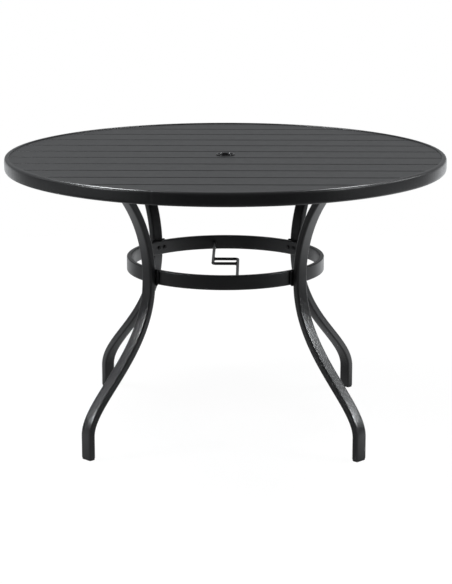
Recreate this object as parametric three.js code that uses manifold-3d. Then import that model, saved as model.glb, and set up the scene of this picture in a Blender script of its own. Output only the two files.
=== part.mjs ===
import * as THREE from 'three';
import { mergeVertices } from 'three/addons/utils/BufferGeometryUtils.js';
import Module from 'manifold-3d';

// A round slatted garden table with an umbrella hole, four bowed legs and a brace ring.
// Lengths are in millimetres. +Z is up, the slats run along X and the front is towards -Y.
// The origin is on the floor, under the middle of the tabletop.

const wasm = await Module();
wasm.setup();

// Whole table
const tableDiameter = 1168;
const tableHeight = 738;

// A tube's cut corner is never more than this many walls, which keeps the wall whole there
const cornerWallShare = 1.5;

// Air between two separate pieces that touch on the real table, and the overrun of a cut
const seatGap = 0.3;
const cutOverrun = 6;

// Rim: a tube rolled into a circle, its two outer edges well rounded and its two inner ones crisp
const rimHeight = 36;
const rimThickness = 12.7;
const rimWall = 1.2;
const rimCorner = 2.2;
const rimEdgeRadius = 6;
const rimVentDiameter = 6;

// Slats: sheet planks with both long edges turned down. The outermost on each side is wider,
// because it runs on to the rim
const slatsEachSide = 5;
const edgeSlatExtra = 8.1;
const slatSpace = 5;
const slatDrop = 2.5;
const slatDepth = 14;
const slatSheet = 1.2;

// Rails: two tubes across the underside of the slats
const railWidth = 30;
const railHeight = 20;
const railWall = 1.2;

// Umbrella hole: a flanged sleeve, and a plate that stiffens the middle slat around it
const umbrellaBore = 39;
const sleeveWall = 2;
const sleeveLength = 30;
const flangeWidth = 3.5;
const flangeThickness = 2;
const stiffenerLength = 110;
const stiffenerSideSpace = 5.5;
const stiffenerThickness = 3;

// Brace ring: a rectangular tube rolled into a circle, with its middle at this height
const ringRadius = 265;
const ringHeight = 38;
const ringThickness = 12.7;
const ringWall = 1.2;
const ringCorner = 2.2;
const ringLevel = 446;

// Ring brackets: a flat plate with cut corners between each leg and the ring
const bracketWidth = 52;
const bracketHeight = 43;
const bracketThickness = 3;
const bracketCorner = 6;

// Legs: a rectangular tube bowed in one upright plane. It is upright at the foot and at its waist
const legWidth = 32;
const legDepth = 17;
const legWall = 1.5;
const legCorner = 2.2;
const footRadius = 490;
const footStraight = 62.5;
const footHandle = 90;
const waistStraight = 20;
const waistHandle = 192;
const legTopRadius = 383;
const legTopLean = THREE.MathUtils.degToRad(46);
const shoulderHandle = 20;
const legTopHandleShare = 0.96;

// Leg plates: welded on the legs and bolted up into the rails
const plateWidth = 60;
const plateLength = 86;
const plateThickness = 4;
const plateBoltOffset = 32;

// Foot caps: a moulded sole with a plug that fills the leg's end
const capSole = 5;
const capPlug = 20;

// Pole guide: two bent rods that box in the umbrella pole at the ring's level
const rodDiameter = 8;
const guideWidth = 67;
const guideDepth = 59;
const rodBend = 9;

// Bolts, and the tapped strips inside the tubes that take them two by two
const boltDiameter = 6;
const boltHeadDiameter = 11;
const boltHeadHeight = 3.4;
const boltHeadEdge = 1.2;
const ringBoltSpacing = 20;
const boltEnd = 3;
const stripThickness = 4;
const ringStripHeight = 18;
const plateStripWidth = 16;
const plateStripMargin = 8;

// The legs' corners, as turns about Z from +X
const legTurns = {
  front_left: -3 * Math.PI / 4,
  front_right: -Math.PI / 4,
  rear_right: Math.PI / 4,
  rear_left: 3 * Math.PI / 4,
};

// Facets of the round pieces, and the steps along a bend
const rimFacets = 72;
const ringFacets = 48;
const sleeveFacets = 32;
const rodFacets = 10;
const boltFacets = 8;
const rimEdgeSteps = 3;
const legLowerSteps = 14;
const legUpperSteps = 7;
const rodBendSteps = 5;

// Sizes that follow from those above
const rimInnerRadius = tableDiameter / 2 - rimThickness;
const slatPitch = (rimInnerRadius - edgeSlatExtra) / (slatsEachSide + 1 / 2);
const slatWidth = slatPitch - slatSpace;
const stiffenerWidth = slatWidth - 2 * (slatSheet + stiffenerSideSpace);
const slatTop = tableHeight - slatDrop;
const slatUnderside = slatTop - slatDepth;
const railTop = slatUnderside - seatGap;
const railUnderside = railTop - railHeight;
const plateTop = railUnderside - seatGap;
const plateUnderside = plateTop - plateThickness;
const legTop = plateUnderside - seatGap;
const legBottom = capSole + seatGap;
const legTopAcross = legTopRadius * Math.SQRT1_2;
const facetTurn = Math.PI / ringFacets;
const ringOuterFlat = ringRadius * Math.cos(facetTurn);
const ringInnerRadius = ringRadius - ringThickness;
const ringInnerFlat = ringInnerRadius * Math.cos(facetTurn);
const bracketInner = ringOuterFlat + seatGap;
const legInner = bracketInner + bracketThickness + seatGap;
const waistRadius = legInner + legDepth / 2;
const legTopHandle = legTopHandleShare * (legTopRadius - waistRadius) / Math.sin(legTopLean);
const boltHoleRadius = boltDiameter / 2 + seatGap;
const ringStripInner = legInner + legWall + seatGap;
const plateStripUnderside = railUnderside + railWall + seatGap;

// Solid work: booleans on closed geometries

function solidOf(geometry) {
  const bare = geometry.clone();
  bare.deleteAttribute('normal');
  bare.deleteAttribute('uv');
  const merged = mergeVertices(bare);
  const corners = merged.index.array;
  const kept = [];
  for (let i = 0; i < corners.length; i += 3) {
    const [a, b, c] = corners.slice(i, i + 3);
    if (a !== b && b !== c && c !== a) {
      kept.push(a, b, c);
    }
  }
  return new wasm.Manifold(new wasm.Mesh({
    numProp: 3,
    vertProperties: merged.attributes.position.array,
    triVerts: new Uint32Array(kept),
  }));
}

function geometryOf(solid) {
  const mesh = solid.getMesh();
  const geometry = new THREE.BufferGeometry();
  geometry.setAttribute('position', new THREE.BufferAttribute(new Float32Array(mesh.vertProperties), 3));
  geometry.setIndex(new THREE.BufferAttribute(new Uint32Array(mesh.triVerts), 1));
  const flat = geometry.toNonIndexed();
  flat.computeVertexNormals();
  return flat;
}

function cut(geometry, ...tools) {
  let solid = solidOf(geometry);
  for (const tool of tools) {
    solid = solid.subtract(solidOf(tool));
  }
  return geometryOf(solid);
}

function keepInside(geometry, tool) {
  return geometryOf(solidOf(geometry).intersect(solidOf(tool)));
}

function join(geometry, other) {
  return geometryOf(solidOf(geometry).add(solidOf(other)));
}

// Sections and simple forms

function sectionPoints(width, depth, corner) {
  const x = width / 2;
  const y = depth / 2;
  return [
    [x, corner - y], [x, y - corner], [x - corner, y], [corner - x, y],
    [-x, y - corner], [-x, corner - y], [corner - x, -y], [x - corner, -y],
  ].map(([across, up]) => new THREE.Vector2(across, up));
}

function plainPoints(width, depth) {
  const x = width / 2;
  const y = depth / 2;
  return [[x, -y], [x, y], [-x, y], [-x, -y]].map(([across, up]) => new THREE.Vector2(across, up));
}

function tubePoints(width, depth, corner, wall) {
  return sectionPoints(width, depth, Math.min(corner, cornerWallShare * wall));
}

function tubeSection(width, depth, corner, wall) {
  const section = new THREE.Shape(tubePoints(width, depth, corner, wall));
  section.holes.push(new THREE.Path(plainPoints(width - 2 * wall, depth - 2 * wall)));
  return section;
}

// A section whose two corners on the +X side are rounded, and whose two others are cut
function roundedSidePoints(width, depth, round, corner) {
  const x = width / 2;
  const y = depth / 2;
  const arc = (middle, from) => Array.from({ length: rimEdgeSteps + 1 }, (_, step) => {
    const angle = from + step * Math.PI / (2 * rimEdgeSteps);
    return [x - round + round * Math.cos(angle), middle + round * Math.sin(angle)];
  });
  return [
    ...arc(round - y, -Math.PI / 2), ...arc(y - round, 0),
    [corner - x, y], [-x, y - corner], [-x, corner - y], [corner - x, -y],
  ].map(([across, up]) => new THREE.Vector2(across, up));
}

function roundSection(radius, sides) {
  const points = [];
  for (let i = 0; i < sides; i += 1) {
    const angle = 2 * Math.PI * i / sides;
    points.push(new THREE.Vector2(radius * Math.cos(angle), radius * Math.sin(angle)));
  }
  return new THREE.Shape(points);
}

function slab(section, from, to) {
  const geometry = new THREE.ExtrudeGeometry(section, { depth: to - from, bevelEnabled: false });
  return geometry.translate(0, 0, from);
}

function block(width, length, from, to) {
  return slab(new THREE.Shape(plainPoints(width, length)), from, to);
}

// A closed ring about the Z axis whose section has its middle at this radius and height
function rolledRing(points, radius, level, facets) {
  const profile = points.map((point) => new THREE.Vector2(point.x + radius, point.y + level));
  profile.push(profile[0].clone());
  return new THREE.LatheGeometry(profile, facets).rotateX(Math.PI / 2);
}

function disc(radius, facets, from, to) {
  const geometry = new THREE.CylinderGeometry(radius, radius, to - from, facets);
  return geometry.rotateX(Math.PI / 2).translate(0, 0, (from + to) / 2);
}

// A line made of several runs, each with its own number of steps, for a bent tube or rod
class BentLine extends THREE.Curve {
  constructor(runs) {
    super();
    this.runs = runs;
    this.steps = runs.reduce((sum, run) => sum + run.steps, 0);
  }

  getPoint(t, target = new THREE.Vector3()) {
    let station = t * this.steps;
    const last = this.runs.length - 1;
    const index = this.runs.findIndex((run, i) => {
      if (station <= run.steps || i === last) {
        return true;
      }
      station -= run.steps;
      return false;
    });
    const { curve, steps } = this.runs[index];
    return target.copy(curve.getPoint(station / steps));
  }

  getUtoTmapping(u) {
    return u;
  }
}

function straightRun(from, to) {
  return { curve: new THREE.LineCurve3(from, to), steps: 1 };
}

function bentTube(section, line) {
  return new THREE.ExtrudeGeometry(section, { steps: line.steps, extrudePath: line });
}

// Finishes

const paint = { color: 0x3a3b3d, roughness: 0.45, metalness: 0.4 };
const slatPaint = { color: 0x4a4b4d, roughness: 0.5, metalness: 0.3 };
const blackPlastic = { color: 0x161616, roughness: 0.6, metalness: 0 };
const glossPlastic = { color: 0x1c1c1c, roughness: 0.2, metalness: 0 };
const blackSteel = { color: 0x202020, roughness: 0.4, metalness: 0.7 };

function piece(name, geometry, finish) {
  const mesh = new THREE.Mesh(geometry, new THREE.MeshStandardMaterial(finish));
  mesh.name = name;
  return mesh;
}

// Tabletop

function rim() {
  const radius = tableDiameter / 2 - rimThickness / 2;
  const level = tableHeight - rimHeight / 2;
  const round = Math.min(rimEdgeRadius, rimThickness / 2);
  const corner = Math.min(rimCorner, cornerWallShare * rimWall);
  const section = roundedSidePoints(rimThickness, rimHeight, round, corner);
  const outside = rolledRing(section, radius, level, rimFacets);
  const hollow = roundedSidePoints(rimThickness - 2 * rimWall, rimHeight - 2 * rimWall, round - rimWall, 0);
  const inside = rolledRing(hollow, radius, level, rimFacets);
  const floor = tableHeight - rimHeight;
  const vents = Object.values(legTurns).map((turn) => (
    disc(rimVentDiameter / 2, boltFacets, floor - cutOverrun, floor + rimWall + cutOverrun)
      .translate(radius, 0, 0)
      .rotateZ(turn + Math.PI / rimFacets)
  ));
  return cut(outside, inside, ...vents);
}

// The section of a slat in Y and Z. Its two lips hang from the edges that face another slat
function slatSection(low, high, lipLow, lipHigh) {
  const skinUnder = slatTop - slatSheet;
  const points = [[high, slatTop], [low, slatTop]];
  if (lipLow) {
    points.push([low, slatUnderside], [low + slatSheet, slatUnderside], [low + slatSheet, skinUnder]);
  } else {
    points.push([low, skinUnder]);
  }
  if (lipHigh) {
    points.push([high - slatSheet, skinUnder], [high - slatSheet, slatUnderside], [high, slatUnderside]);
  } else {
    points.push([high, skinUnder]);
  }
  return new THREE.Shape(points.map(([y, z]) => new THREE.Vector2(y, z)));
}

const slatReach = rimInnerRadius - seatGap;

// The outermost slat on each side runs on to the rim's curve, and has no lip there
function slat(row) {
  const outermost = Math.abs(row) === slatsEachSide;
  const near = row * slatPitch - slatWidth / 2;
  const far = row * slatPitch + slatWidth / 2;
  const low = outermost && row < 0 ? -rimInnerRadius : near;
  const high = outermost && row > 0 ? rimInnerRadius : far;
  const section = slatSection(low, high, low === near, high === far);
  const plank = new THREE.ExtrudeGeometry(section, { depth: 2 * rimInnerRadius, bevelEnabled: false });
  plank.rotateX(Math.PI / 2).rotateZ(Math.PI / 2).translate(-rimInnerRadius, 0, 0);
  const round = disc(slatReach, rimFacets, slatUnderside - cutOverrun, slatTop + cutOverrun);
  const trimmed = keepInside(plank, round);
  return row === 0 ? cut(trimmed, sleeveHole(slatTop - slatSheet, slatTop)) : trimmed;
}

function sleeveHole(from, to) {
  const radius = umbrellaBore / 2 + sleeveWall + seatGap;
  return disc(radius, sleeveFacets, from - cutOverrun, to + cutOverrun);
}

function umbrellaSleeve() {
  const bore = umbrellaBore / 2;
  const sleeve = bore + sleeveWall;
  const flange = sleeve + flangeWidth;
  const seat = slatTop + seatGap;
  const edge = flangeThickness / 2;
  const profile = [
    [bore, seat - sleeveLength], [sleeve, seat - sleeveLength], [sleeve, seat], [flange, seat],
    [flange, seat + edge], [flange - edge, seat + flangeThickness], [bore, seat + flangeThickness],
  ].map(([x, y]) => new THREE.Vector2(x, y));
  return rolledRing(profile, 0, 0, sleeveFacets);
}

function stiffener() {
  const top = slatTop - slatSheet - seatGap;
  const bottom = top - stiffenerThickness;
  return cut(block(stiffenerLength, stiffenerWidth, bottom, top), sleeveHole(bottom, top));
}

// A rail along Y, trimmed to the rim's curve, with its bolt holes in the lower wall
function rail(side) {
  const across = side * legTopAcross;
  const length = 2 * rimInnerRadius;
  const outside = block(railWidth, length, railUnderside, railTop);
  const hollow = block(
    railWidth - 2 * railWall,
    length + 2 * cutOverrun,
    railUnderside + railWall,
    railTop - railWall,
  );
  const tube = cut(outside, hollow).translate(across, 0, 0);
  const trimmed = keepInside(
    tube,
    disc(slatReach, rimFacets, railUnderside - cutOverrun, railTop + cutOverrun),
  );
  const holes = [-1, 1].flatMap((end) => [-1, 1].map((bolt) => disc(
    boltHoleRadius,
    boltFacets,
    railUnderside - cutOverrun,
    plateStripUnderside,
  ).translate(across, end * legTopAcross + bolt * plateBoltOffset, 0)));
  return cut(trimmed, ...holes);
}

// Legs and what is fixed to them. Each is built on +X, and its group turns it to its corner

function legLine() {
  const point = (radius, height) => new THREE.Vector3(radius, 0, height);
  const top = point(legTopRadius, legTop);
  const lean = point(Math.sin(legTopLean), Math.cos(legTopLean));
  const foot = point(footRadius, footStraight);
  const waistLow = point(waistRadius, ringLevel - waistStraight / 2);
  const waistHigh = point(waistRadius, ringLevel + waistStraight / 2);
  const overrun = top.clone().addScaledVector(lean, legDepth + cutOverrun);
  return new BentLine([
    straightRun(point(footRadius, legBottom), foot),
    {
      curve: new THREE.CubicBezierCurve3(
        foot,
        point(footRadius, footStraight + footHandle),
        point(waistRadius, waistLow.z - waistHandle),
        waistLow,
      ),
      steps: legLowerSteps,
    },
    straightRun(waistLow, waistHigh),
    {
      curve: new THREE.CubicBezierCurve3(
        waistHigh,
        point(waistRadius, waistHigh.z + shoulderHandle),
        top.clone().addScaledVector(lean, -legTopHandle),
        top,
      ),
      steps: legUpperSteps,
    },
    straightRun(top, overrun),
  ]);
}

function legTube() {
  const tube = bentTube(tubeSection(legWidth, legDepth, legCorner, legWall), legLine());
  const reach = 2 * (legTopRadius + legWidth);
  const above = block(reach, reach, legTop, legTop + 2 * (legDepth + legWidth + cutOverrun));
  const holes = ringBoltHoles(legInner - cutOverrun, ringStripInner);
  return cut(tube, above, ...holes);
}

// The cutters of a leg's two ring bolt holes, side by side at the ring's level
function ringBoltHoles(from, to) {
  return [-1, 1].map((side) => disc(boltHoleRadius, boltFacets, from, to)
    .rotateY(Math.PI / 2)
    .translate(0, side * ringBoltSpacing / 2, ringLevel));
}

function boltedPlate(width, length, from, to) {
  const holes = [-1, 1].map((end) => disc(boltHoleRadius, boltFacets, from - cutOverrun, to + cutOverrun)
    .translate(0, end * plateBoltOffset, 0));
  return cut(block(width, length, from, to), ...holes);
}

function legPlate() {
  return boltedPlate(plateWidth, plateLength, plateUnderside, plateTop);
}

function plateStrip() {
  const length = 2 * (plateBoltOffset + plateStripMargin);
  return boltedPlate(plateStripWidth, length, plateStripUnderside, plateStripUnderside + stripThickness);
}

function ringStrip() {
  const width = legWidth - 2 * (legWall + seatGap);
  const strip = block(ringStripHeight, width, 0, stripThickness)
    .rotateY(Math.PI / 2)
    .translate(ringStripInner, 0, ringLevel);
  const far = ringStripInner + stripThickness;
  return cut(strip, ...ringBoltHoles(ringStripInner - cutOverrun, far + cutOverrun));
}

function footCap() {
  const sole = slab(new THREE.Shape(sectionPoints(legDepth, legWidth, legCorner)), 0, capSole);
  const inset = 2 * (legWall + seatGap);
  const plug = block(legDepth - inset, legWidth - inset, capSole / 2, capSole + capPlug);
  return join(sole, plug).translate(footRadius, 0, 0);
}

function ringBracket() {
  const outline = new THREE.Shape(sectionPoints(bracketHeight, bracketWidth, bracketCorner));
  const plate = slab(outline, 0, bracketThickness)
    .rotateY(Math.PI / 2)
    .translate(bracketInner, 0, ringLevel);
  return cut(plate, ...ringBoltHoles(bracketInner - cutOverrun, legInner + cutOverrun));
}

// Brace ring and pole guide

function braceRing() {
  const radius = ringRadius - ringThickness / 2;
  const section = tubePoints(ringThickness, ringHeight, ringCorner, ringWall);
  const outside = rolledRing(section, radius, ringLevel, ringFacets).rotateZ(facetTurn);
  const hollow = plainPoints(ringThickness - 2 * ringWall, ringHeight - 2 * ringWall);
  const inside = rolledRing(hollow, radius, ringLevel, ringFacets).rotateZ(facetTurn);
  const holes = Object.values(legTurns).flatMap((turn) => {
    const pair = ringBoltHoles(ringInnerFlat - cutOverrun, ringOuterFlat + cutOverrun);
    return pair.map((hole) => hole.rotateZ(turn));
  });
  return cut(outside, inside, ...holes);
}

// The rear rod: from the ring's back wall forwards, round a bend and along to the other rod
function guideRod() {
  const left = -guideWidth / 2;
  const front = -guideDepth / 2;
  const stop = guideWidth / 2 - rodDiameter / 2 - seatGap;
  const point = (x, y) => new THREE.Vector3(x, y, ringLevel);
  const line = new BentLine([
    straightRun(point(left, ringRadius), point(left, front + rodBend)),
    {
      curve: new THREE.QuadraticBezierCurve3(
        point(left, front + rodBend),
        point(left, front),
        point(left + rodBend, front),
      ),
      steps: rodBendSteps,
    },
    straightRun(point(left + rodBend, front), point(stop, front)),
  ]);
  const rod = bentTube(roundSection(rodDiameter / 2, rodFacets), line);
  const room = disc(
    ringInnerRadius - seatGap,
    ringFacets,
    ringLevel - ringHeight / 2,
    ringLevel + ringHeight / 2,
  ).rotateZ(facetTurn);
  return keepInside(rod, room);
}

// Fasteners: each bolt points along +Z from the underside of its head at zero

function bolt(length) {
  const profile = [
    [0, -boltHeadHeight], [boltHeadDiameter / 2 - boltHeadEdge, -boltHeadHeight],
    [boltHeadDiameter / 2, -boltHeadEdge], [boltHeadDiameter / 2, 0],
    [boltDiameter / 2, 0], [boltDiameter / 2, length], [0, length],
  ].map(([x, y]) => new THREE.Vector2(x, y));
  return new THREE.LatheGeometry(profile, boltFacets).rotateX(Math.PI / 2);
}

const ringBoltSeat = ringInnerFlat - seatGap;
const plateBoltSeat = plateUnderside - seatGap;

function ringBolt(side) {
  return bolt(ringStripInner + stripThickness + boltEnd - ringBoltSeat)
    .rotateY(Math.PI / 2)
    .translate(ringBoltSeat, side * ringBoltSpacing / 2, ringLevel);
}

function plateBolt(end) {
  return bolt(plateStripUnderside + stripThickness + boltEnd - plateBoltSeat)
    .translate(0, end * plateBoltOffset, plateBoltSeat);
}

// The table put together

const table = new THREE.Group();

const tabletop = new THREE.Group();
tabletop.add(piece('tabletop_rim', rim(), paint));
for (let row = -slatsEachSide; row <= slatsEachSide; row += 1) {
  const number = String(row + slatsEachSide + 1).padStart(2, '0');
  tabletop.add(piece(`slat_${number}`, slat(row), slatPaint));
}
tabletop.add(piece('rail_left', rail(-1), paint));
tabletop.add(piece('rail_right', rail(1), paint));
tabletop.add(piece('umbrella_hole_sleeve', umbrellaSleeve(), glossPlastic));
tabletop.add(piece('umbrella_hole_stiffener', stiffener(), paint));
table.add(tabletop);

// The base hangs from each corner: a turned group holds the leg, and a level one its top plate
const base = new THREE.Group();
for (const [corner, turn] of Object.entries(legTurns)) {
  const leg = new THREE.Group();
  leg.add(
    piece(`leg_${corner}`, legTube(), paint),
    piece(`foot_cap_${corner}`, footCap(), blackPlastic),
    piece(`ring_bracket_${corner}`, ringBracket(), paint),
    piece(`leg_tapped_strip_${corner}`, ringStrip(), blackSteel),
    piece(`ring_bolt_${corner}_1`, ringBolt(-1), blackSteel),
    piece(`ring_bolt_${corner}_2`, ringBolt(1), blackSteel),
  );
  leg.rotation.z = turn;

  const top = new THREE.Group();
  top.add(
    piece(`leg_plate_${corner}`, legPlate(), paint),
    piece(`rail_tapped_strip_${corner}`, plateStrip(), blackSteel),
    piece(`leg_plate_bolt_${corner}_1`, plateBolt(-1), blackSteel),
    piece(`leg_plate_bolt_${corner}_2`, plateBolt(1), blackSteel),
  );
  top.position.x = legTopRadius * Math.cos(turn);
  top.position.y = legTopRadius * Math.sin(turn);
  base.add(leg, top);
}
base.add(piece('brace_ring', braceRing(), paint));
const rearRod = piece('pole_guide_rod_rear', guideRod(), paint);
const frontRod = piece('pole_guide_rod_front', guideRod(), paint);
frontRod.rotation.z = Math.PI;
base.add(rearRod, frontRod);
table.add(base);

export default table;
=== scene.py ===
import math

import bpy
from mathutils import Matrix, Vector


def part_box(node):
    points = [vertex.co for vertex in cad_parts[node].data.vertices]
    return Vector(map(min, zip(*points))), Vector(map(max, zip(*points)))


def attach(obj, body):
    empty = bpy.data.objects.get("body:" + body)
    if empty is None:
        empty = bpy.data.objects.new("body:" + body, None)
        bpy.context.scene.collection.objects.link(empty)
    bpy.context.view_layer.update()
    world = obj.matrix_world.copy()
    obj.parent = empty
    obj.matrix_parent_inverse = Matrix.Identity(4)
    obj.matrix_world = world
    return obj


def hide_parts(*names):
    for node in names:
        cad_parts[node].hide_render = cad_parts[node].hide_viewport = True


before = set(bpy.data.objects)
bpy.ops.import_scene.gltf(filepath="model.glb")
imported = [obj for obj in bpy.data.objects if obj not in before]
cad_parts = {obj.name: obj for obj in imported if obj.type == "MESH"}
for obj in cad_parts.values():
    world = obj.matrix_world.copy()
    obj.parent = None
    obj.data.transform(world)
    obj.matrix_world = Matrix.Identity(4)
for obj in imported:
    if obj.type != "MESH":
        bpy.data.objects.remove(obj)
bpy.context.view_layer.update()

# Tabletop rim
# Steel tube rolled into a hoop and powder coated, with two well rounded outer edges and a slightly crowned
# face. Its ends meet in one butt weld, ground flat, left of the front, and four vents drain its underside.


def let_go():
    if bpy.context.mode != "OBJECT":
        bpy.ops.object.mode_set(mode="OBJECT")
    bpy.ops.object.select_all(action="DESELECT")


def take(piece):
    let_go()
    piece.select_set(True)
    bpy.context.view_layer.objects.active = piece


def name_it(piece, name):
    piece.name = name
    piece.data.name = name


def settle(piece):
    """Moves the piece's place, turn and scale into its mesh."""
    take(piece)
    bpy.ops.object.transform_apply(location=True, rotation=True, scale=True)


def edit(piece, kind, wanted=None):
    """Opens the piece with the wanted points, edges or faces selected, or with all of them."""
    take(piece)
    bpy.context.tool_settings.mesh_select_mode = (kind == "POINT", kind == "EDGE", kind == "FACE")
    mesh = piece.data
    for part in (*mesh.vertices, *mesh.edges, *mesh.polygons):
        part.select = wanted is None
    if wanted and kind == "POINT":
        for point in mesh.vertices:
            point.select = wanted(point.co)
    if wanted and kind == "EDGE":
        for edge in mesh.edges:
            ends = [mesh.vertices[i] for i in edge.vertices]
            edge.select = wanted(ends[0].co, ends[1].co)
            if edge.select:
                ends[0].select = ends[1].select = True
    if wanted and kind == "FACE":
        for face in mesh.polygons:
            face.select = wanted(face.center, face.normal)
            if face.select:
                for i in face.vertices:
                    mesh.vertices[i].select = True
    bpy.ops.object.mode_set(mode="EDIT")


def done():
    bpy.ops.object.mode_set(mode="OBJECT")


def finish_with(piece, kind, **settings):
    """Gives the piece a modifier and applies it."""
    take(piece)
    modifier = piece.modifiers.new(kind.capitalize(), kind)
    for setting, value in settings.items():
        setattr(modifier, setting, value)
    bpy.ops.object.modifier_apply(modifier=modifier.name)


def cut(piece, tool, operation="DIFFERENCE"):
    finish_with(piece, "BOOLEAN", operation=operation, solver="EXACT", object=tool)
    bpy.data.objects.remove(tool)


def drill(radius, middle, length, turn=(0, 0, 0), sides=32):
    let_go()
    bpy.ops.mesh.primitive_cylinder_add(
        vertices=sides, radius=radius, depth=length, location=middle, rotation=turn
    )
    return bpy.context.object


def smooth(piece, sharpest=35):
    """Soft over its bends, flat on its flats and crisp at its cut ends."""
    take(piece)
    bpy.ops.object.shade_smooth_by_angle(angle=math.radians(sharpest))
    finish_with(piece, "WEIGHTED_NORMAL", keep_sharp=True)


# Places closer together than a hair count as one.
hair = 1e-5
round_steps = 240


def rolled_tube(name, radius, thickness, low, high, outer_corner, inner_corner, crown, corner_profile=0.5):
    """A hoop of tube round the Z axis, out to this radius, its outer face crowned by this much."""
    let_go()
    bpy.ops.mesh.primitive_plane_add(
        size=1,
        location=(radius - (thickness + crown) / 2, 0, (low + high) / 2),
        rotation=(math.pi / 2, 0, 0),
    )
    hoop = bpy.context.object
    hoop.scale = (thickness - crown, high - low, 1)
    settle(hoop)
    flank = radius - crown
    edit(hoop, "POINT", lambda point: point.x > flank - hair)
    bpy.ops.mesh.bevel(offset=outer_corner, segments=8, profile=corner_profile, affect="VERTICES")
    done()
    edit(hoop, "POINT", lambda point: point.x < radius - thickness + hair)
    bpy.ops.mesh.bevel(offset=inner_corner, segments=4, affect="VERTICES")
    bpy.ops.mesh.delete(type="ONLY_FACE")
    done()
    edit(hoop, "EDGE", lambda a, b: min(a.x, b.x) > flank - hair)
    bpy.ops.mesh.subdivide(number_cuts=7)
    done()
    middle = (low + high) / 2
    edit(hoop, "POINT", lambda point: point.x > flank - hair and abs(point.z - middle) < hair)
    bpy.ops.transform.translate(
        value=(crown, 0, 0),
        use_proportional_edit=True,
        use_proportional_connected=True,
        proportional_edit_falloff="INVERSE_SQUARE",
        proportional_size=(high - low) / 2,
    )
    bpy.ops.mesh.select_all(action="SELECT")
    bpy.ops.mesh.spin(steps=round_steps, angle=2 * math.pi, center=(0, 0, 0), axis=(0, 0, 1))
    bpy.ops.mesh.select_all(action="SELECT")
    bpy.ops.mesh.remove_doubles(threshold=hair)
    bpy.ops.mesh.normals_make_consistent(inside=False)
    done()
    name_it(hoop, name)
    return hoop


def node(material, kind, place, **values):
    """A shader node with its settings, and with numbers or links for its inputs."""
    made = material.node_tree.nodes.new(kind)
    made.location = place
    for key, value in values.items():
        if hasattr(made, key):
            setattr(made, key, value)
            continue
        socket = made.inputs[key.replace("_", " ")]
        if isinstance(value, bpy.types.NodeSocket):
            material.node_tree.links.new(value, socket)
        else:
            socket.default_value = value
    return made


def powder_coat(name, colour, roughness, specular, grain, relief):
    """Baked powder paint: a fine orange peel, a faint cloudiness, and thinner, paler paint on the edges."""
    paint = bpy.data.materials.new(name)
    paint.use_nodes = True
    shader = paint.node_tree.nodes["Principled BSDF"]
    place = node(paint, "ShaderNodeTexCoord", (-1400, 0)).outputs["Object"]
    cloud = node(paint, "ShaderNodeTexNoise", (-1150, 300), Vector=place, Scale=14, Detail=3)
    tone = node(paint, "ShaderNodeValToRGB", (-900, 300), Fac=cloud.outputs["Fac"])
    tone.color_ramp.elements[0].position = 0.35
    tone.color_ramp.elements[0].color = (*(0.9 * c for c in colour), 1)
    tone.color_ramp.elements[1].position = 0.65
    tone.color_ramp.elements[1].color = (*(1.1 * c for c in colour), 1)
    surface = node(paint, "ShaderNodeNewGeometry", (-1400, -300))
    rounded = node(paint, "ShaderNodeBevel", (-1150, -300), samples=4, Radius=0.0015)
    facing = node(paint, "ShaderNodeVectorMath", (-900, -300), operation="DOT_PRODUCT")
    paint.node_tree.links.new(surface.outputs["Normal"], facing.inputs[0])
    paint.node_tree.links.new(rounded.outputs["Normal"], facing.inputs[1])
    edge = node(paint, "ShaderNodeMapRange", (-650, -300), Value=facing.outputs["Value"])
    edge.inputs["From Min"].default_value = 0.97
    edge.inputs["From Max"].default_value = 0.75
    edge.inputs["To Max"].default_value = 0.6
    worn = node(paint, "ShaderNodeMix", (-400, 200), data_type="RGBA")
    paint.node_tree.links.new(edge.outputs["Result"], worn.inputs["Factor"])
    paint.node_tree.links.new(tone.outputs["Color"], worn.inputs[6])
    worn.inputs[7].default_value = (*(2 * c for c in colour), 1)
    paint.node_tree.links.new(worn.outputs[2], shader.inputs["Base Color"])
    patch = node(paint, "ShaderNodeTexNoise", (-650, 0), Vector=place, Scale=55, Detail=2)
    gloss = node(paint, "ShaderNodeMapRange", (-400, 0), Value=patch.outputs["Fac"])
    gloss.inputs["To Min"].default_value = roughness - 0.04
    gloss.inputs["To Max"].default_value = roughness + 0.04
    paint.node_tree.links.new(gloss.outputs["Result"], shader.inputs["Roughness"])
    peel = node(paint, "ShaderNodeTexNoise", (-650, -600), Vector=place, Scale=grain, Detail=2)
    bump = node(paint, "ShaderNodeBump", (-400, -600), Height=peel.outputs["Fac"], Strength=relief)
    bump.inputs["Distance"].default_value = 0.0003
    paint.node_tree.links.new(bump.outputs["Normal"], shader.inputs["Normal"])
    shader.inputs["Specular IOR Level"].default_value = specular
    return paint


def fit(piece, paint, slot, *nodes):
    """Paints the piece, fixes it to the table and says which solids it stands for."""
    piece.data.materials.clear()
    piece.data.materials.append(paint)
    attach(piece, "root")
    if nodes:
        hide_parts(*nodes)


frame_paint = powder_coat(
    "frame_paint", colour=(0.0088, 0.0090, 0.0097), roughness=0.31, specular=0.8, grain=650, relief=0.05
)

rim_low, rim_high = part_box("tabletop_rim")
rim_radius = rim_high.x
rim_thickness = 0.0127
rim_outer_corner = 0.0085
rim_inner_corner = 0.002
rim_crown = 0.0008
rim_corner_profile = 0.62
rim = rolled_tube(
    "rim",
    rim_radius,
    rim_thickness,
    rim_low.z,
    rim_high.z,
    rim_outer_corner,
    rim_inner_corner,
    rim_crown,
    rim_corner_profile,
)

seam_turn = math.radians(-107)
seam_reach = math.radians(3)
seam_width = 0.0044
seam_sunk = 0.0004
seam_half = seam_width / 2 / rim_radius


def seam_offset(point):
    return math.atan2(point.y, point.x) - seam_turn


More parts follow.
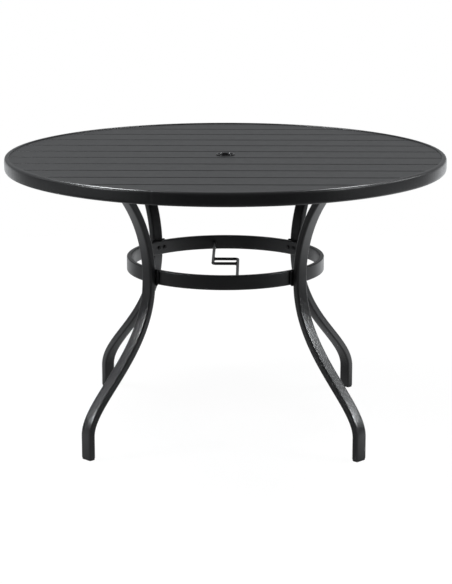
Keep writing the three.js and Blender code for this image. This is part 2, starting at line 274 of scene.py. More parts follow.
for turn in (seam_turn - seam_half, seam_turn, seam_turn + seam_half):
    edit(rim, "FACE", lambda middle, normal: abs(seam_offset(middle)) < seam_reach)
    bpy.ops.mesh.bisect(plane_co=(0, 0, 0), plane_no=(-math.sin(turn), math.cos(turn), 0))
    done()
edit(rim, "POINT", lambda point: abs(seam_offset(point)) < seam_half / 2)
bpy.ops.transform.shrink_fatten(value=-seam_sunk)
done()

vent_radius = 0.003
vent_depth = 0.008
first_vent_degrees = 47.5
for quarter in range(4):
    turn = math.radians(first_vent_degrees + 90 * quarter)
    middle = rim_radius - rim_thickness / 2
    cut(rim, drill(vent_radius, (middle * math.cos(turn), middle * math.sin(turn), rim_low.z), vent_depth))
smooth(rim)
fit(rim, frame_paint, "frame_paint", "tabletop_rim")

# Slats
# Eleven planks folded from 1.2 mm sheet: both long edges turn down with a soft fold, and the outermost
# plank on each side runs on to the rim. They are welded to the rim from below, with a gap between planks.

slat_paint = powder_coat(
    "slat_paint", colour=(0.0098, 0.0100, 0.0107), roughness=0.36, specular=0.5, grain=900, relief=0.07
)
slat_count = 11
slat_sheet = 0.0012
slat_fold = 0.0022
slat_low, slat_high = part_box("slat_06")
seat_gap = 0.0003
slat_reach = rim_radius - rim_thickness - seat_gap
spare = 0.01


def inside_rim(low, high):
    """The round room inside the rim, between these two heights."""
    return drill(slat_reach, (0, 0, (low + high) / 2), high - low, sides=round_steps)


def plank(name, near, far, lips):
    """A folded plank across the table from y = near to y = far, with a lip at each of the edges given."""
    let_go()
    bpy.ops.mesh.primitive_plane_add(size=1, location=(0, (near + far) / 2, slat_high.z))
    made = bpy.context.object
    made.scale = (2 * slat_reach + 2 * spare, far - near, 1)
    settle(made)
    for lip in lips:
        edit(made, "EDGE", lambda a, b: abs(a.y - lip) < hair and abs(b.y - lip) < hair and a.z == b.z)
        bpy.ops.mesh.extrude_region_move(TRANSFORM_OT_translate={"value": (0, 0, slat_low.z - slat_high.z)})
        done()
        edit(made, "EDGE", lambda a, b: all(
            abs(end.y - lip) < hair and abs(end.z - slat_high.z) < hair for end in (a, b)
        ))
        bpy.ops.mesh.bevel(offset=slat_fold, segments=5, affect="EDGES")
        done()
    edit(made, "FACE")
    bpy.ops.mesh.normals_make_consistent(inside=False)
    done()
    up = max(made.data.polygons, key=lambda face: face.area).normal.z
    finish_with(made, "SOLIDIFY", thickness=slat_sheet, offset=-1 if up > 0 else 1, use_even_offset=True)
    edit(made, "FACE")
    bpy.ops.mesh.normals_make_consistent(inside=False)
    done()
    cut(made, inside_rim(slat_low.z - spare, slat_high.z + spare), "INTERSECT")
    name_it(made, name)
    return made


slat_planks = []
for number in range(1, slat_count + 1):
    low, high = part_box(f"slat_{number:02d}")
    near, far, lips = low.y, high.y, (low.y, high.y)
    if number == 1:
        near, lips = -rim_radius, (high.y,)
    if number == slat_count:
        far, lips = rim_radius, (low.y,)
    slat_planks.append(plank(f"plank_{number:02d}", near, far, lips))

sleeve_low, sleeve_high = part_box("umbrella_hole_sleeve")
bore_radius = 0.0195
sleeve_wall = 0.002
sleeve_hole = bore_radius + sleeve_wall + seat_gap
middle_plank = slat_planks[slat_count // 2]
cut(middle_plank, drill(sleeve_hole, (0, 0, slat_high.z), spare, sides=64))
for number, piece in enumerate(slat_planks, 1):
    smooth(piece)
    fit(piece, slat_paint, "slat_paint", f"slat_{number:02d}")

# Rails
# Two steel box tubes across the underside of the planks, welded to them. They carry the top, and the leg
# plates bolt into them.

rail_corner = 0.0025
rail_wall = 0.0012
# A face looks along an axis when its normal does by more than this.
mostly = 0.9


def box_tube(name, low, high, corner, wall):
    """An open box tube along Y, between two corners of its box."""
    let_go()
    bpy.ops.mesh.primitive_cube_add(size=1, location=(Vector(low) + Vector(high)) / 2)
    tube = bpy.context.object
    tube.scale = Vector(high) - Vector(low)
    settle(tube)
    edit(tube, "EDGE", lambda a, b: abs(a.y - b.y) > hair)
    bpy.ops.mesh.bevel(offset=corner, segments=4, affect="EDGES")
    done()
    edit(tube, "FACE", lambda middle, normal: abs(normal.y) > mostly)
    bpy.ops.mesh.delete(type="FACE")
    done()
    finish_with(tube, "SOLIDIFY", thickness=wall, offset=-1, use_even_offset=True)
    name_it(tube, name)
    return tube


for side in ("left", "right"):
    low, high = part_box(f"rail_{side}")
    rail = box_tube(
        f"rail_tube_{side}",
        (low.x, -rim_radius, low.z),
        (high.x, rim_radius, high.z),
        rail_corner,
        rail_wall,
    )
    cut(rail, inside_rim(low.z - spare, high.z + spare), "INTERSECT")
    smooth(rail)
    fit(rail, frame_paint, "frame_paint", f"rail_{side}")

# Umbrella hole
# A gloss black moulded sleeve pressed into the middle plank, its rounded flange on the plank, and a steel
# plate under the plank that keeps the sheet flat round the hole.

crisp_angle = math.radians(60)


def plate(name, low, high, axis, corner, corner_steps, edge=0.0004):
    """A flat plate in this box, square to the axis, with its corners and edges rounded or cut."""
    let_go()
    bpy.ops.mesh.primitive_cube_add(size=1, location=(Vector(low) + Vector(high)) / 2)
    made = bpy.context.object
    made.scale = Vector(high) - Vector(low)
    settle(made)
    edit(made, "EDGE", lambda a, b: all(abs((a - b)[i]) < hair for i in range(3) if i != axis))
    bpy.ops.mesh.bevel(offset=corner, segments=corner_steps, affect="EDGES")
    done()
    finish_with(made, "BEVEL", width=edge, segments=2, limit_method="ANGLE", angle_limit=crisp_angle)
    name_it(made, name)
    return made


stiffener_corner = 0.004
stiffener_low, stiffener_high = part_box("umbrella_hole_stiffener")
stiffener = plate("stiffener_plate", stiffener_low, stiffener_high, 2, stiffener_corner, corner_steps=4)
cut(stiffener, drill(sleeve_hole, (0, 0, stiffener_high.z), 2 * spare, sides=64))
smooth(stiffener)
fit(stiffener, frame_paint, "frame_paint", "umbrella_hole_stiffener")

sleeve_paint = bpy.data.materials.new("sleeve_plastic")
sleeve_paint.use_nodes = True
sleeve_shader = sleeve_paint.node_tree.nodes["Principled BSDF"]
sleeve_place = node(sleeve_paint, "ShaderNodeTexCoord", (-900, 0)).outputs["Object"]
sleeve_haze = node(sleeve_paint, "ShaderNodeTexNoise", (-650, 200), Vector=sleeve_place, Scale=120, Detail=3)
sleeve_tone = node(sleeve_paint, "ShaderNodeValToRGB", (-400, 200), Fac=sleeve_haze.outputs["Fac"])
sleeve_tone.color_ramp.elements[0].color = (0.009, 0.009, 0.010, 1)
sleeve_tone.color_ramp.elements[1].color = (0.014, 0.014, 0.015, 1)
sleeve_gloss = node(sleeve_paint, "ShaderNodeMapRange", (-400, -50), Value=sleeve_haze.outputs["Fac"])
sleeve_gloss.inputs["To Min"].default_value = 0.14
sleeve_gloss.inputs["To Max"].default_value = 0.22
sleeve_wave = node(sleeve_paint, "ShaderNodeBump", (-400, -350), Height=sleeve_haze.outputs["Fac"])
sleeve_wave.inputs["Strength"].default_value = 0.05
sleeve_wave.inputs["Distance"].default_value = 0.0005
sleeve_links = sleeve_paint.node_tree.links
sleeve_links.new(sleeve_tone.outputs["Color"], sleeve_shader.inputs["Base Color"])
sleeve_links.new(sleeve_gloss.outputs["Result"], sleeve_shader.inputs["Roughness"])
sleeve_links.new(sleeve_wave.outputs["Normal"], sleeve_shader.inputs["Normal"])

flange_radius = sleeve_high.x
flange_fold = 0.0034
sleeve_edge = 0.0007
let_go()
bpy.ops.mesh.primitive_cylinder_add(
    vertices=96,
    radius=bore_radius,
    depth=sleeve_high.z - sleeve_low.z,
    end_fill_type="NOTHING",
    location=(0, 0, (sleeve_low.z + sleeve_high.z) / 2),
)
sleeve = bpy.context.object
settle(sleeve)
edit(sleeve, "POINT", lambda point: point.z > sleeve_high.z - hair)
bpy.ops.mesh.extrude_region_move()
flare = flange_radius / bore_radius
bpy.ops.transform.resize(value=(flare, flare, 1), center_override=(0, 0, 0))
done()
edit(sleeve, "EDGE", lambda a, b: all(
    abs(end.z - sleeve_high.z) < hair and end.xy.length < bore_radius + hair for end in (a, b)
))
bpy.ops.mesh.bevel(offset=flange_fold, segments=8, affect="EDGES")
bpy.ops.mesh.select_all(action="SELECT")
bpy.ops.mesh.normals_make_consistent(inside=False)
done()
flange_up = max(sleeve.data.polygons, key=lambda face: face.center.z).normal.z
wall_side = -1 if flange_up > 0 else 1
finish_with(sleeve, "SOLIDIFY", thickness=sleeve_wall, offset=wall_side, use_even_offset=True)
edit(sleeve, "FACE")
bpy.ops.mesh.normals_make_consistent(inside=False)
done()
finish_with(sleeve, "BEVEL", width=sleeve_edge, segments=3, limit_method="ANGLE", angle_limit=crisp_angle)
name_it(sleeve, "umbrella_sleeve")
smooth(sleeve)
fit(sleeve, sleeve_paint, "sleeve_plastic", "umbrella_hole_sleeve")

# Legs
# Four rectangular steel tubes, their wide faces slightly crowned, each bowed in one plane: upright at the
# foot, leaning in to its waist at the brace ring and out again to its plate under the rails.

leg_width = 0.032
leg_depth = 0.017
leg_wall = 0.0015
leg_corner = 0.0048
leg_corner_steps = 8
leg_corner_profile = 0.66
leg_crown = 0.0006
foot_radius = 0.490
foot_straight = 0.0625
foot_handle = 0.090
waist_half = 0.010
waist_handle = 0.192
shoulder_handle = 0.020
leg_top_radius = 0.383
leg_top_handle = 0.1421
leg_lean = math.radians(46)
corner_turns = {
    "front_left": math.radians(-135),
    "front_right": math.radians(-45),
    "rear_right": math.radians(45),
    "rear_left": math.radians(135),
}
leg_low, leg_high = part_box("leg_front_left")
ring_low, ring_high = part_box("brace_ring")
ring_level = (ring_low.z + ring_high.z) / 2
ring_outside = ring_high.x
ring_thickness = 0.0126
bracket_thickness = 0.003
waist_radius = ring_outside + bracket_thickness + 2 * seat_gap + leg_depth / 2


def rounded_outline(width, depth, corner, crown=0):
    """A flat outline with soft corners, as a curve. Its two ends along X are crowned by this much."""
    let_go()
    bpy.ops.mesh.primitive_plane_add(size=1)
    outline = bpy.context.object
    outline.scale = (width - 2 * crown, depth, 1)
    settle(outline)
    edit(outline, "POINT")
    bpy.ops.mesh.bevel(
        offset=corner, segments=leg_corner_steps, profile=leg_corner_profile, affect="VERTICES"
    )
    bpy.ops.mesh.delete(type="ONLY_FACE")
    done()
    if crown:
        flank = width / 2 - crown
        edit(outline, "EDGE", lambda a, b: min(abs(a.x), abs(b.x)) > flank - hair and a.x * b.x > 0)
        bpy.ops.mesh.subdivide(number_cuts=7)
        done()
        for side in (-1, 1):
            edit(outline, "POINT", lambda point: side * point.x > flank - hair and abs(point.y) < hair)
            bpy.ops.transform.translate(
                value=(side * crown, 0, 0),
                use_proportional_edit=True,
                use_proportional_connected=True,
                proportional_edit_falloff="INVERSE_SQUARE",
                proportional_size=depth / 2,
            )
            done()
    take(outline)
    bpy.ops.object.convert(target="CURVE")
    return bpy.context.object


def bent_line(points):
    """A curve through points given as (place, handle before, handle after)."""
    let_go()
    bpy.ops.curve.primitive_bezier_curve_add()
    line = bpy.context.object
    line.data.dimensions = "3D"
    line.data.twist_mode = "MINIMUM"
    spline = line.data.splines[0]
    spline.bezier_points.add(len(points) - len(spline.bezier_points))
    for knot, (place, before, after) in zip(spline.bezier_points, points):
        knot.handle_left_type = knot.handle_right_type = "FREE"
        knot.co, knot.handle_left, knot.handle_right = place, before, after
    return line


def leg_point(radius, height):
    return Vector((radius, 0, height))


lean = leg_point(math.sin(leg_lean), math.cos(leg_lean))
foot = leg_point(foot_radius, leg_low.z)
ankle = leg_point(foot_radius, foot_straight)
waist_low = leg_point(waist_radius, ring_level - waist_half)
waist_high = leg_point(waist_radius, ring_level + waist_half)
leg_head = leg_point(leg_top_radius, leg_high.z)
leg_spare = 0.03
past_head = leg_head + leg_spare * lean
leg_line = bent_line([
    (foot, foot, foot.lerp(ankle, 1 / 3)),
    (ankle, ankle.lerp(foot, 1 / 3), ankle + leg_point(0, foot_handle)),
    (waist_low, waist_low - leg_point(0, waist_handle), waist_low.lerp(waist_high, 1 / 3)),
    (waist_high, waist_high.lerp(waist_low, 1 / 3), waist_high + leg_point(0, shoulder_handle)),
    (leg_head, leg_head - leg_top_handle * lean, leg_head.lerp(past_head, 1 / 3)),
    (past_head, past_head.lerp(leg_head, 1 / 3), past_head),
])
leg_section = rounded_outline(leg_depth, leg_width, leg_corner, crown=leg_crown)
leg_line.data.resolution_u = 56
leg_line.data.bevel_mode = "OBJECT"
leg_line.data.bevel_object = leg_section
take(leg_line)
bpy.ops.object.convert(target="MESH")
leg = bpy.context.object
bpy.data.objects.remove(leg_section)
edit(leg, "POINT")
bpy.ops.mesh.remove_doubles(threshold=hair)
bpy.ops.mesh.select_all(action="SELECT")
bpy.ops.mesh.bisect(plane_co=leg_head, plane_no=(0, 0, 1), clear_outer=True)
bpy.ops.mesh.select_all(action="SELECT")
bpy.ops.mesh.normals_make_consistent(inside=False)
done()
finish_with(leg, "SOLIDIFY", thickness=leg_wall, offset=-1, use_even_offset=True)
smooth(leg)


def turned_copy(piece, name, turn):
    """A copy of a piece that was made on +X, turned about the table's middle."""
    take(piece)
    bpy.ops.object.duplicate()
    copy = bpy.context.object
    copy.rotation_euler.z = turn
    settle(copy)
    name_it(copy, name)
    return copy


for corner, turn in corner_turns.items():
    fit(turned_copy(leg, f"leg_tube_{corner}", turn), frame_paint, "frame_paint", f"leg_{corner}")
bpy.data.objects.remove(leg)

# Foot caps
# Moulded black plastic soles with a rounded lower edge, each held by its plug in the leg's end.

cap_paint = bpy.data.materials.new("cap_plastic")
cap_paint.use_nodes = True
cap_shader = cap_paint.node_tree.nodes["Principled BSDF"]
cap_place = node(cap_paint, "ShaderNodeTexCoord", (-900, 0)).outputs["Object"]
cap_scuff = node(cap_paint, "ShaderNodeTexNoise", (-650, 200), Vector=cap_place, Scale=180, Detail=4)
cap_tone = node(cap_paint, "ShaderNodeValToRGB", (-400, 200), Fac=cap_scuff.outputs["Fac"])
cap_tone.color_ramp.elements[0].color = (0.010, 0.010, 0.011, 1)
cap_tone.color_ramp.elements[1].color = (0.019, 0.019, 0.020, 1)
cap_gloss = node(cap_paint, "ShaderNodeMapRange", (-400, -50), Value=cap_scuff.outputs["Fac"])
cap_gloss.inputs["To Min"].default_value = 0.5
cap_gloss.inputs["To Max"].default_value = 0.65
cap_grain = node(cap_paint, "ShaderNodeTexNoise", (-650, -350), Vector=cap_place, Scale=2600, Detail=2)
cap_relief = node(cap_paint, "ShaderNodeBump", (-400, -350), Height=cap_grain.outputs["Fac"])
cap_relief.inputs["Strength"].default_value = 0.3
cap_relief.inputs["Distance"].default_value = 0.0002
cap_links = cap_paint.node_tree.links
cap_links.new(cap_tone.outputs["Color"], cap_shader.inputs["Base Color"])
cap_links.new(cap_gloss.outputs["Result"], cap_shader.inputs["Roughness"])
cap_links.new(cap_relief.outputs["Normal"], cap_shader.inputs["Normal"])

cap_sole = leg_low.z - seat_gap
cap_plug = 0.020
cap_edge = 0.0014
let_go()
bpy.ops.mesh.primitive_plane_add(size=1, location=(foot_radius, 0, 0))
cap = bpy.context.object
cap.scale = (leg_depth, leg_width, 1)
settle(cap)
edit(cap, "POINT")
bpy.ops.mesh.bevel(
    offset=leg_corner, segments=leg_corner_steps, profile=leg_corner_profile, affect="VERTICES"
)
bpy.ops.mesh.select_all(action="SELECT")
bpy.ops.mesh.extrude_region_move(TRANSFORM_OT_translate={"value": (0, 0, cap_sole)})
bpy.ops.mesh.inset(thickness=leg_wall + seat_gap)
bpy.ops.mesh.extrude_region_move(TRANSFORM_OT_translate={"value": (0, 0, cap_plug)})
bpy.ops.mesh.select_all(action="SELECT")
bpy.ops.mesh.normals_make_consistent(inside=False)
done()
edit(cap, "EDGE", lambda a, b: a.z < hair and b.z < hair)
bpy.ops.mesh.bevel(offset=cap_edge, segments=4, affect="EDGES")
done()
smooth(cap)
for corner, turn in corner_turns.items():
    fit(turned_copy(cap, f"sole_{corner}", turn), cap_paint, "cap_plastic", f"foot_cap_{corner}")
bpy.data.objects.remove(cap)

# Leg plates
# A flat steel plate welded on top of each leg, with rounded corners, bolted up against the rail.

top_plate_corner = 0.006
for corner in corner_turns:
    low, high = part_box(f"leg_plate_{corner}")
    top_plate = plate(f"top_plate_{corner}", low, high, 2, top_plate_corner, corner_steps=5)
    smooth(top_plate)
    fit(top_plate, frame_paint, "frame_paint", f"leg_plate_{corner}")

# Brace ring and its brackets
# A steel hoop of rectangular tube inside the legs' waists, bolted to them. Between it and each leg sits a
# flat plate with cut corners.

ring_corner = 0.0028
ring = rolled_tube(
    "ring_hoop",
    ring_outside,
    ring_thickness,
    ring_low.z,
    ring_high.z,
    ring_corner,
    ring_corner,
    crown=0,
)
smooth(ring)
fit(ring, frame_paint, "frame_paint", "brace_ring")

bracket_width = 0.052
bracket_height = 0.043
bracket_corner = 0.006
bracket = plate(
    "bracket",
    (ring_outside + seat_gap, -bracket_width / 2, ring_level - bracket_height / 2),
    (ring_outside + seat_gap + bracket_thickness, bracket_width / 2, ring_level + bracket_height / 2),
    0,
    bracket_corner,
    corner_steps=1,
)
smooth(bracket)
for corner, turn in corner_turns.items():
    piece = turned_copy(bracket, f"bracket_plate_{corner}", turn)
    fit(piece, frame_paint, "frame_paint", f"ring_bracket_{corner}")
bpy.data.objects.remove(bracket)

# Bolts
# Black button heads with a hexagon socket: two through the ring and bracket into each leg, and two up
# through each leg plate into the rail.

fastener_paint = powder_coat(
    "fastener_steel", colour=(0.012, 0.012, 0.0125), roughness=0.32, specular=0.6, grain=1500, relief=0.08
)
bolt_radius = 0.003
bolt_head_radius = 0.0055
bolt_head_height = 0.0034
bolt_head_round = 0.0018
bolt_socket_radius = 0.0022
bolt_socket_depth = 0.0018


def bolt(length):
    """A bolt along +Z, the underside of its head at zero."""
    head = drill(bolt_head_radius, (0, 0, -bolt_head_height / 2), bolt_head_height, sides=48)
    settle(head)
    edit(head, "FACE", lambda middle, normal: normal.z > mostly)
    bpy.ops.mesh.inset(thickness=bolt_head_radius - bolt_radius)
    bpy.ops.mesh.extrude_region_move(TRANSFORM_OT_translate={"value": (0, 0, length)})
    done()
    edit(head, "EDGE", lambda a, b: max(a.z, b.z) < hair - bolt_head_height)
    bpy.ops.mesh.bevel(offset=bolt_head_round, segments=6, affect="EDGES")
    done()
    cut(head, drill(bolt_socket_radius, (0, 0, -bolt_head_height), 2 * bolt_socket_depth, sides=6))
    smooth(head)
    return head


ring_bolt_spacing = 0.020
ring_bolt_seat = 0.25146
ring_bolt_length = 0.0253
ring_bolt = bolt(ring_bolt_length)
plate_bolt_low, plate_bolt_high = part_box("leg_plate_bolt_rear_right_1")
plate_bolt = bolt(plate_bolt_high.z - plate_bolt_low.z - bolt_head_height)
for corner, turn in corner_turns.items():
    for number, side in ((1, -1), (2, 1)):
        take(ring_bolt)
        bpy.ops.object.duplicate()
        piece = bpy.context.object
        piece.rotation_euler.y = math.pi / 2
        piece.location = (ring_bolt_seat, side * ring_bolt_spacing / 2, ring_level)
        settle(piece)
        piece.rotation_euler.z = turn
        settle(piece)
        name_it(piece, f"ring_screw_{corner}_{number}")
        fit(piece, fastener_paint, "fastener_steel", f"ring_bolt_{corner}_{number}")
        low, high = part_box(f"leg_plate_bolt_{corner}_{number}")
        take(plate_bolt)
        bpy.ops.object.duplicate()
        piece = bpy.context.object
        piece.location = ((low.x + high.x) / 2, (low.y + high.y) / 2, low.z + bolt_head_height)
        settle(piece)
        name_it(piece, f"plate_screw_{corner}_{number}")
        fit(piece, fastener_paint, "fastener_steel", f"leg_plate_bolt_{corner}_{number}")
bpy.data.objects.remove(ring_bolt)
bpy.data.objects.remove(plate_bolt)

# Tapped strips
# Threaded steel strips inside the legs and rails, which take the bolts two by two. They show only when the
# table is taken apart, so they keep their plain solids, coated as the bolts are.

for corner in corner_turns:
    for strip in (f"leg_tapped_strip_{corner}", f"rail_tapped_strip_{corner}"):
        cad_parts[strip].material_slots[0].material = fastener_paint

# Pole guide rods
# Two bent round rods welded to the inside of the ring. Their short bars overlap and box in the pole.

rod_low, rod_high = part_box("pole_guide_rod_rear")
rod_radius = (rod_high.z - rod_low.z) / 2
rod_bend = 0.009
rod_end_gap = 0.0006
rod_edge = 0.0007
round_handle_share = 0.5523
bend_handle = round_handle_share * rod_bend
ring_inside = ring_outside - ring_thickness
rod_left = rod_low.x + rod_radius
rod_front = rod_low.y + rod_radius
rod_back = math.sqrt(ring_inside ** 2 - rod_left ** 2) - rod_end_gap


def rod_point(x, y):
    return Vector((x, y, ring_level))


rod_start = rod_point(rod_left, rod_back)
bend_start = rod_point(rod_left, rod_front + rod_bend)
bend_end = rod_point(rod_left + rod_bend, rod_front)
rod_end = rod_point(rod_high.x, rod_front)
rod_line = bent_line([
    (rod_start, rod_start, rod_start.lerp(bend_start, 1 / 3)),
    (bend_start, bend_start.lerp(rod_start, 1 / 3), bend_start - Vector((0, bend_handle, 0))),
    (bend_end, bend_end - Vector((bend_handle, 0, 0)), bend_end.lerp(rod_end, 1 / 3)),
    (rod_end, rod_end.lerp(bend_end, 1 / 3), rod_end),
])
rod_line.data.bevel_depth = rod_radius
rod_line.data.bevel_resolution = 6
rod_line.data.use_fill_caps = True
take(rod_line)
bpy.ops.object.convert(target="MESH")
rod = bpy.context.object
edit(rod, "POINT")
bpy.ops.mesh.remove_doubles(threshold=hair)
bpy.ops.mesh.select_all(action="SELECT")
bpy.ops.mesh.normals_make_consistent(inside=False)
done()
finish_with(rod, "BEVEL", width=rod_edge, segments=2, limit_method="ANGLE", angle_limit=crisp_angle)
smooth(rod)
for side, turn in (("rear", 0), ("front", math.pi)):
    piece = turned_copy(rod, f"guide_rod_{side}", turn)
    fit(piece, frame_paint, "frame_paint", f"pole_guide_rod_{side}")
bpy.data.objects.remove(rod)

# Weld beads
# Small steel fillets, coated with the frame: round the guide rods where they meet the ring and each other,
# and round the top of each leg under its plate.

bead_radius = 0.0013
bead_back = 0.0004
bead_ripple = 0.0002


def rod_bead(name, place, turn):
    """A ring of weld round the end of a guide rod, its axis along Y before it is turned."""
    let_go()
    bpy.ops.mesh.primitive_torus_add(
        major_segments=36,
        minor_segments=10,
        major_radius=rod_radius,
        minor_radius=bead_radius,
        location=place,
        rotation=(math.pi / 2, 0, turn),
    )
    bead = bpy.context.object
    settle(bead)
    edit(bead, "POINT")
    bpy.ops.transform.vertex_random(offset=bead_ripple, seed=4)
    done()
    name_it(bead, name)
    return bead


ring_slant = math.asin(rod_left / ring_inside)
ring_bead = rod_bead("ring_bead", rod_start - Vector((0, bead_back, 0)), -ring_slant)
joint_bead = rod_bead("joint_bead", rod_end - Vector((bead_back, 0, 0)), math.pi / 2)
for bead in (ring_bead, joint_bead):
    smooth(bead, sharpest=80)
    for side, turn in (("rear", 0), ("front", math.pi)):
        fit(turned_copy(bead, f"{bead.name}_{side}", turn), frame_paint, "frame_paint")
    bpy.data.objects.remove(bead)

leg_bead = rounded_outline(leg_depth / math.cos(leg_lean), leg_width, leg_corner)
leg_bead.data.dimensions = "3D"
leg_bead.data.bevel_depth = bead_radius
leg_bead.data.bevel_resolution = 3
leg_bead.location = leg_head - Vector((0, 0, bead_back))
take(leg_bead)
bpy.ops.object.convert(target="MESH")
leg_bead = bpy.context.object
settle(leg_bead)
smooth(leg_bead, sharpest=80)
for corner, turn in corner_turns.items():
    fit(turned_copy(leg_bead, f"leg_bead_{corner}", turn), frame_paint, "frame_paint")
bpy.data.objects.remove(leg_bead)

# Studio
# A pale round floor in a white room, which gloss sees bright beside and behind the table and dim elsewhere;
# for gloss the floor glows with painted light and shade, with a painted shadow under the table.
# Two lamps hang above the table, and two soft panels and four small lights stand at its sides.

floor_radius = 2.6
let_go()
bpy.ops.mesh.primitive_circle_add(vertices=96, radius=floor_radius, fill_type="NGON", location=(0, 0, 0))
floor = bpy.context.object
name_it(floor, "studio_floor")


def slope(material, place, value, before, after):
    """A number that goes from one level to another between two values: (value, level) and (value, level)."""
    made = node(material, "ShaderNodeMapRange", place, Value=value)
    made.interpolation_type = "SMOOTHSTEP"
    for socket, number in zip(("From Min", "To Min", "From Max", "To Max"), (*before, *after)):
        made.inputs[socket].default_value = number
    return made.outputs["Result"]


def product(material, place, *factors):
    made = factors[0]
    for factor in factors[1:]:
        times = node(material, "ShaderNodeMath", place, operation="MULTIPLY")
        material.node_tree.links.new(made, times.inputs[0])
        material.node_tree.links.new(factor, times.inputs[1])
        made = times.outputs[0]
    return made


def shown_through(material, place):
    """One for rays that come straight from the camera, or through something clear."""
    seen = node(material, "ShaderNodeLightPath", place)
    either = node(material, "ShaderNodeMath", place, operation="MAXIMUM")
    material.node_tree.links.new(seen.outputs["Is Camera Ray"], either.inputs[0])
    material.node_tree.links.new(seen.outputs["Is Transmission Ray"], either.inputs[1])
    return either.outputs[0], seen.outputs["Is Glossy Ray"]


def blended(material, place, share, first, second):
    mix = node(material, "ShaderNodeMixShader", place)
    for socket, source in zip(mix.inputs, (share, first, second)):
        material.node_tree.links.new(source, socket)
    return mix.outputs[0]


floor_paint = bpy.data.materials.new("floor_paint")
floor_paint.use_nodes = True
floor_paint.node_tree.nodes.remove(floor_paint.node_tree.nodes["Principled BSDF"])
floor_place = node(floor_paint, "ShaderNodeTexCoord", (-1500, 0)).outputs["Object"]
floor_parts = node(floor_paint, "ShaderNodeSeparateXYZ", (-1300, 0), Vector=floor_place)
floor_away = node(floor_paint, "ShaderNodeVectorMath", (-1300, 300), operation="LENGTH")
floor_paint.node_tree.links.new(floor_place, floor_away.inputs[0])
floor_distance = floor_away.outputs["Value"]
# Painted light and shade that gloss sees on the floor: a painted shadow under the table, dimmer in front and
# beyond a metre out, brighter behind and to the right.
floor_painted_glow_level = product(
    floor_paint,
    (-800, 0),
    slope(floor_paint, (-1050, 0), floor_distance, (0.35, 0.2), (0.8, 0.9)),
    slope(floor_paint, (-1050, 250), floor_distance, (1.0, 1), (1.35, 0.42)),
    slope(floor_paint, (-1050, -250), floor_parts.outputs["Y"], (-0.9, 0.3), (0.1, 1.1)),
    slope(floor_paint, (-1050, -380), floor_parts.outputs["Y"], (0.9, 1), (1.6, 2.3)),
    slope(floor_paint, (-1050, -500), floor_parts.outputs["X"], (-1.6, 0.72), (1.6, 1.3)),
)
cool_white = (0.96, 0.98, 1)
# For gloss the floor glows with this painted light and shade, though it is no lamp.
floor_painted_glow = node(
    floor_paint, "ShaderNodeEmission", (-550, 0), Color=(*cool_white, 1), Strength=floor_painted_glow_level
)
floor_white = node(floor_paint, "ShaderNodeEmission", (-550, -200), Strength=1.03)
floor_matt = node(floor_paint, "ShaderNodeBsdfDiffuse", (-550, 200), Color=(0.8, 0.8, 0.8, 1))
floor_seen, floor_mirrored = shown_through(floor_paint, (-800, 500))
floor_share = product(
    floor_paint,
    (-550, 500),
    floor_seen,
    slope(floor_paint, (-800, 300), floor_distance, (0.5, 0.93), (1.6, 1)),
)
floor_lit_or_painted_glow = blended(floor_paint, (-300, 0), floor_mirrored, floor_matt.outputs[0], floor_painted_glow.outputs[0])
floor_look = blended(floor_paint, (-50, 0), floor_share, floor_lit_or_painted_glow, floor_white.outputs[0])
floor_out = floor_paint.node_tree.nodes["Material Output"]
floor_paint.node_tree.links.new(floor_look, floor_out.inputs["Surface"])
floor.data.materials.append(floor_paint)

world = bpy.data.worlds.new("studio")
bpy.context.scene.world = world
world.use_nodes = True
world.node_tree.nodes.clear()
room_way = node(world, "ShaderNodeTexCoord", (-1500, 0)).outputs["Generated"]
room_parts = node(world, "ShaderNodeSeparateXYZ", (-1300, 0), Vector=room_way)
room_turned = node(world, "ShaderNodeMapping", (-1500, -300), Vector=room_way)
room_turned.inputs["Rotation"].default_value[2] = math.radians(-8.5)
room_turned_parts = node(world, "ShaderNodeSeparateXYZ", (-1300, -300), Vector=room_turned.outputs["Vector"])
room_low = product(
    world,
    (-800, 0),
    slope(world, (-1050, 0), room_turned_parts.outputs["Y"], (-0.86, 0.05), (-0.3, 0.35)),
    slope(world, (-1050, 250), room_parts.outputs["Y"], (0.58, 0.72), (0.9, 2.9)),
    slope(world, (-1050, -250), room_parts.outputs["X"], (-0.7, 1.06), (0.7, 1.3)),
    slope(world, (-1050, -500), room_parts.outputs["Z"], (-0.3, 1.5), (-0.05, 0.85)),
)
room_above = slope(world, (-1050, -750), room_parts.outputs["Z"], (-0.01, 0), (0.07, 1))
room_dusk = product(
    world,
    (-800, -900),
    slope(world, (-1050, -900), room_parts.outputs["Y"], (0.3, 0.12), (0.8, 0.335)),
    slope(world, (-1050, -1050), room_parts.outputs["X"], (-0.3, 0.94), (0.3, 1.06)),
)
room_high = node(world, "ShaderNodeBackground", (-550, -200), Color=(*cool_white, 1), Strength=room_dusk)
room_mirror = node(world, "ShaderNodeBackground", (-550, 0), Color=(*cool_white, 1), Strength=room_low)
room_fill = node(world, "ShaderNodeBackground", (-550, 200), Color=(1, 1, 1, 1), Strength=0.15)
room_white = node(world, "ShaderNodeBackground", (-550, 400), Color=(1, 1, 1, 1), Strength=1)
room_seen, room_mirrored = shown_through(world, (-800, 500))
room_gloss = blended(world, (-300, -100), room_above, room_mirror.outputs[0], room_high.outputs[0])
room_lit = blended(world, (-100, 0), room_mirrored, room_fill.outputs[0], room_gloss)
room_look = blended(world, (100, 100), room_seen, room_lit, room_white.outputs[0])
node(world, "ShaderNodeOutputWorld", (300, 0), Surface=room_look)


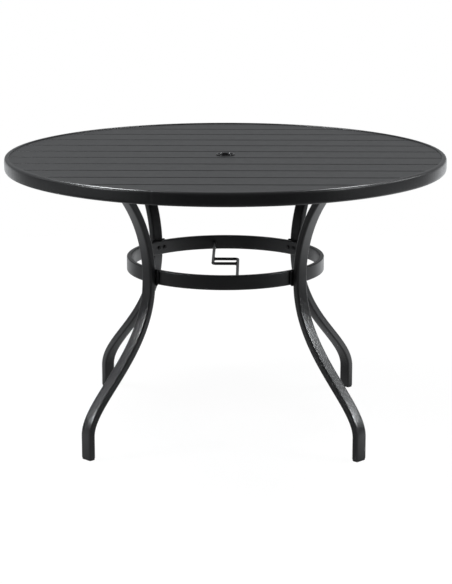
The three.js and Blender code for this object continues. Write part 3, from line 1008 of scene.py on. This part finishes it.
def soft_light(name, place, along, width, height, brightness, aim=(0, 0, 0.6), beam=math.pi):
    """A soft light at this place, looking at its aim, its width along this way, perhaps in a narrow beam."""
    way = (Vector(place) - Vector(aim)).normalized()
    side = Vector(along) - way.dot(Vector(along)) * way
    side.normalize()
    let_go()
    bpy.ops.object.light_add(type="AREA", location=place)
    lamp = bpy.context.object
    lamp.name = name
    lamp.rotation_euler = Matrix((side, way.cross(side), way)).transposed().to_euler()
    lamp.data.shape = "RECTANGLE"
    lamp.data.size = width
    lamp.data.size_y = height
    lamp.data.spread = beam
    lamp.data.energy = brightness * math.pi * width * height * (1 - beam / 2 / math.tan(beam / 2))
    lamp.data.color = cool_white
    return lamp


soft_light("lamp_left", (-1.36, 0.10, 2.68), along=(-0.49, -0.87, 0), width=0.95, height=0.48, brightness=37)
soft_light("lamp_right", (1.36, 0.20, 2.68), along=(0.5, -0.86, 0), width=0.75, height=0.36, brightness=33)
soft_light("panel_left", (-2.33, 0.20, 1.60), along=(0, 1, 0), width=1.1, height=0.95, brightness=0.65)
soft_light("panel_right", (2.33, 0.20, 1.60), along=(0, 1, 0), width=1.1, height=0.95, brightness=2.6)
soft_light("spark_left", (-1.90, -1.15, 1.35), along=(0.5, -0.86, 0), width=0.42, height=0.42, brightness=14)
soft_light("spark_right", (1.90, -1.15, 1.35), along=(-0.5, -0.86, 0), width=0.42, height=0.42, brightness=10)
# The last two are narrow beams on the lower bends of the front legs.
for name, side, forward, brightness in (("knee_left", -1, 0.78, 175), ("knee_right", 1, 0.66, 180)):
    soft_light(
        name,
        (2.08 * side, -forward, 1.30),
        along=(-0.3 * side, -0.95, 0),
        width=0.26,
        height=0.26,
        brightness=brightness,
        aim=(0.34 * side, -0.34, 0.11),
        beam=math.radians(24),
    )

# Camera
# A long lens at standing height, looking a little down, a few metres in front of the table.

image_height = 584
focal_pixels = 1922
camera_distance = 5.047
camera_height = 1.543
camera_turn = math.radians(0.8)
camera_pitch = math.radians(13.18)
shift_pixels = -0.6
let_go()
bpy.ops.object.camera_add(
    location=(
        camera_distance * math.sin(camera_turn),
        -camera_distance * math.cos(camera_turn),
        camera_height,
    ),
    rotation=(math.pi / 2 - camera_pitch, 0, camera_turn + shift_pixels / focal_pixels),
)
camera = bpy.context.object
camera.name = "camera"
camera.data.sensor_width = 36
camera.data.lens = focal_pixels * camera.data.sensor_width / image_height
bpy.context.scene.camera = camera
bpy.context.scene.view_settings.view_transform = "Standard"
